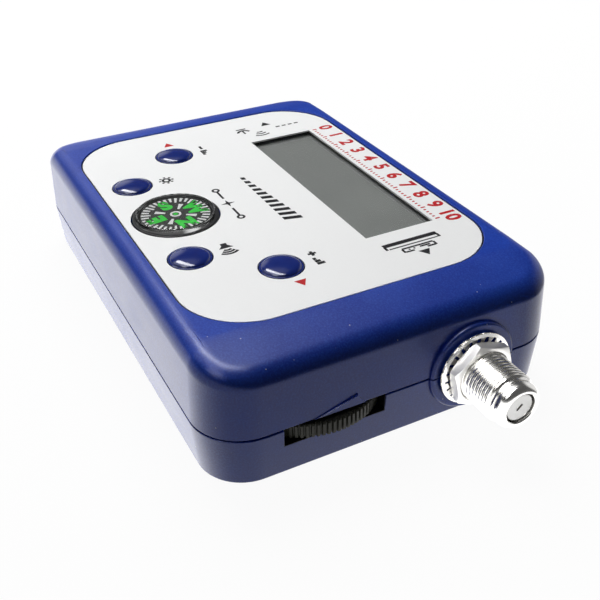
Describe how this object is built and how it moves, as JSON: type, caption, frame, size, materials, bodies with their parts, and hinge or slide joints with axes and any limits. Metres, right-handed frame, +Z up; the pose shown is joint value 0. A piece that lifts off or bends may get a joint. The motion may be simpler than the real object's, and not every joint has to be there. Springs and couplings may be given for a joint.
{
  "type": "satellite signal meter",
  "caption": "Pocket meter for aiming a satellite dish: blue case with a display, push buttons, a compass, a volume thumbwheel and a threaded coaxial connector on each end.",
  "frame": {"origin": "middle of the flat underside of the case", "axes": "+X along the case towards the receiver's connector and the thumbwheel, +Y across the face towards the display, +Z up out of the face"},
  "size_m": [0.1298, 0.0684, 0.0246],
  "materials": {
    "case_plastic": "moulded blue plastic with a fine soft texture",
    "button_plastic": "smooth glossy dark blue",
    "label_plate": "printed off-white sheet, satin",
    "clear_plastic": "clear, polished",
    "display_glass": "grey liquid crystal glass with a dark polariser",
    "light_guide": "milky diffuser",
    "tinned_sheet": "tinned steel sheet",
    "contact_rubber": "layered conductive rubber",
    "screw_steel": "plain steel",
    "plated_metal": "bright nickel plate",
    "contact_metal": "gilt spring metal",
    "insulator_plastic": "white insulator",
    "board_laminate": "green solder mask",
    "wheel_plastic": "black, ribbed rim",
    "compass_card": "black dial with pale marks",
    "black_plastic": "black moulded plastic"
  },
  "bodies": {
    "case": {"board_screw_left_far": "screw_steel", "board_screw_left_near": "screw_steel", "board_screw_right_far": "screw_steel", "board_screw_right_near": "screw_steel", "bottom_cover": "case_plastic", "capacitor_1": "black_plastic", "capacitor_2": "black_plastic", "capacitor_3": "black_plastic", "case_screw_left_far": "screw_steel", "case_screw_left_near": "screw_steel", "case_screw_right_far": "screw_steel", "case_screw_right_near": "screw_steel", "choke_dish": "black_plastic", "choke_receiver": "black_plastic", "circuit_board": "board_laminate", "compass_cup": "black_plastic", "compass_lens": "clear_plastic", "compass_pivot": "screw_steel", "connector_contact_dish": "contact_metal", "connector_contact_receiver": "contact_metal", "connector_insulator_dish": "insulator_plastic", "connector_insulator_receiver": "insulator_plastic", "connector_nut_dish": "plated_metal", "connector_nut_receiver": "plated_metal", "connector_shell_dish": "plated_metal", "connector_shell_receiver": "plated_metal", "connector_washer_dish": "plated_metal", "connector_washer_receiver": "plated_metal", "controller_chip": "black_plastic", "crystal": "tinned_sheet", "display_backlight": "light_guide", "display_bezel": "tinned_sheet", "display_contact_strip_far": "contact_rubber", "display_contact_strip_near": "contact_rubber", "display_glass": "display_glass", "display_window": "clear_plastic", "faceplate_label": "label_plate", "screening_can": "tinned_sheet", "sounder": "black_plastic", "switch_attenuator_left": "black_plastic", "switch_attenuator_right": "black_plastic", "switch_light": "black_plastic", "switch_sound": "black_plastic", "thumbwheel_axle": "screw_steel", "top_cover": "case_plastic", "volume_control_body": "black_plastic"},
    "attenuator_left_button": {"button_attenuator_left": "button_plastic", "plunger_attenuator_left": "black_plastic"},
    "attenuator_right_button": {"button_attenuator_right": "button_plastic", "plunger_attenuator_right": "black_plastic"},
    "light_button": {"button_light": "button_plastic", "plunger_light": "black_plastic"},
    "sound_button": {"button_sound": "button_plastic", "plunger_sound": "black_plastic"},
    "volume_wheel": {"thumbwheel": "wheel_plastic"},
    "compass_dial": {"compass_card": "compass_card", "compass_magnet_far": "screw_steel", "compass_magnet_near": "screw_steel"}
  },
  "joints": [
    {"name": "attenuator_left_press", "type": "slide", "parent": "case", "child": "attenuator_left_button", "axis": [0, 0, -1], "range_m": [0, 0.0005], "stiffness_N_per_m": 2400, "springref_m": -0.0002},
    {"name": "attenuator_right_press", "type": "slide", "parent": "case", "child": "attenuator_right_button", "axis": [0, 0, -1], "range_m": [0, 0.0005], "stiffness_N_per_m": 2400, "springref_m": -0.0002},
    {"name": "light_press", "type": "slide", "parent": "case", "child": "light_button", "axis": [0, 0, -1], "range_m": [0, 0.0005], "stiffness_N_per_m": 2400, "springref_m": -0.0002},
    {"name": "sound_press", "type": "slide", "parent": "case", "child": "sound_button", "axis": [0, 0, -1], "range_m": [0, 0.0005], "stiffness_N_per_m": 2400, "springref_m": -0.0002},
    {"name": "volume_turn", "type": "hinge", "parent": "case", "child": "volume_wheel", "pos_m": [0.0386, -0.01235, 0.0078], "axis": [0, 0, 1], "range_deg": [-135, 135]},
    {"name": "compass_turn", "type": "hinge", "parent": "case", "child": "compass_dial", "pos_m": [0, -0.0194, 0.0209], "axis": [0, 0, 1], "continuous": true}
  ]
}
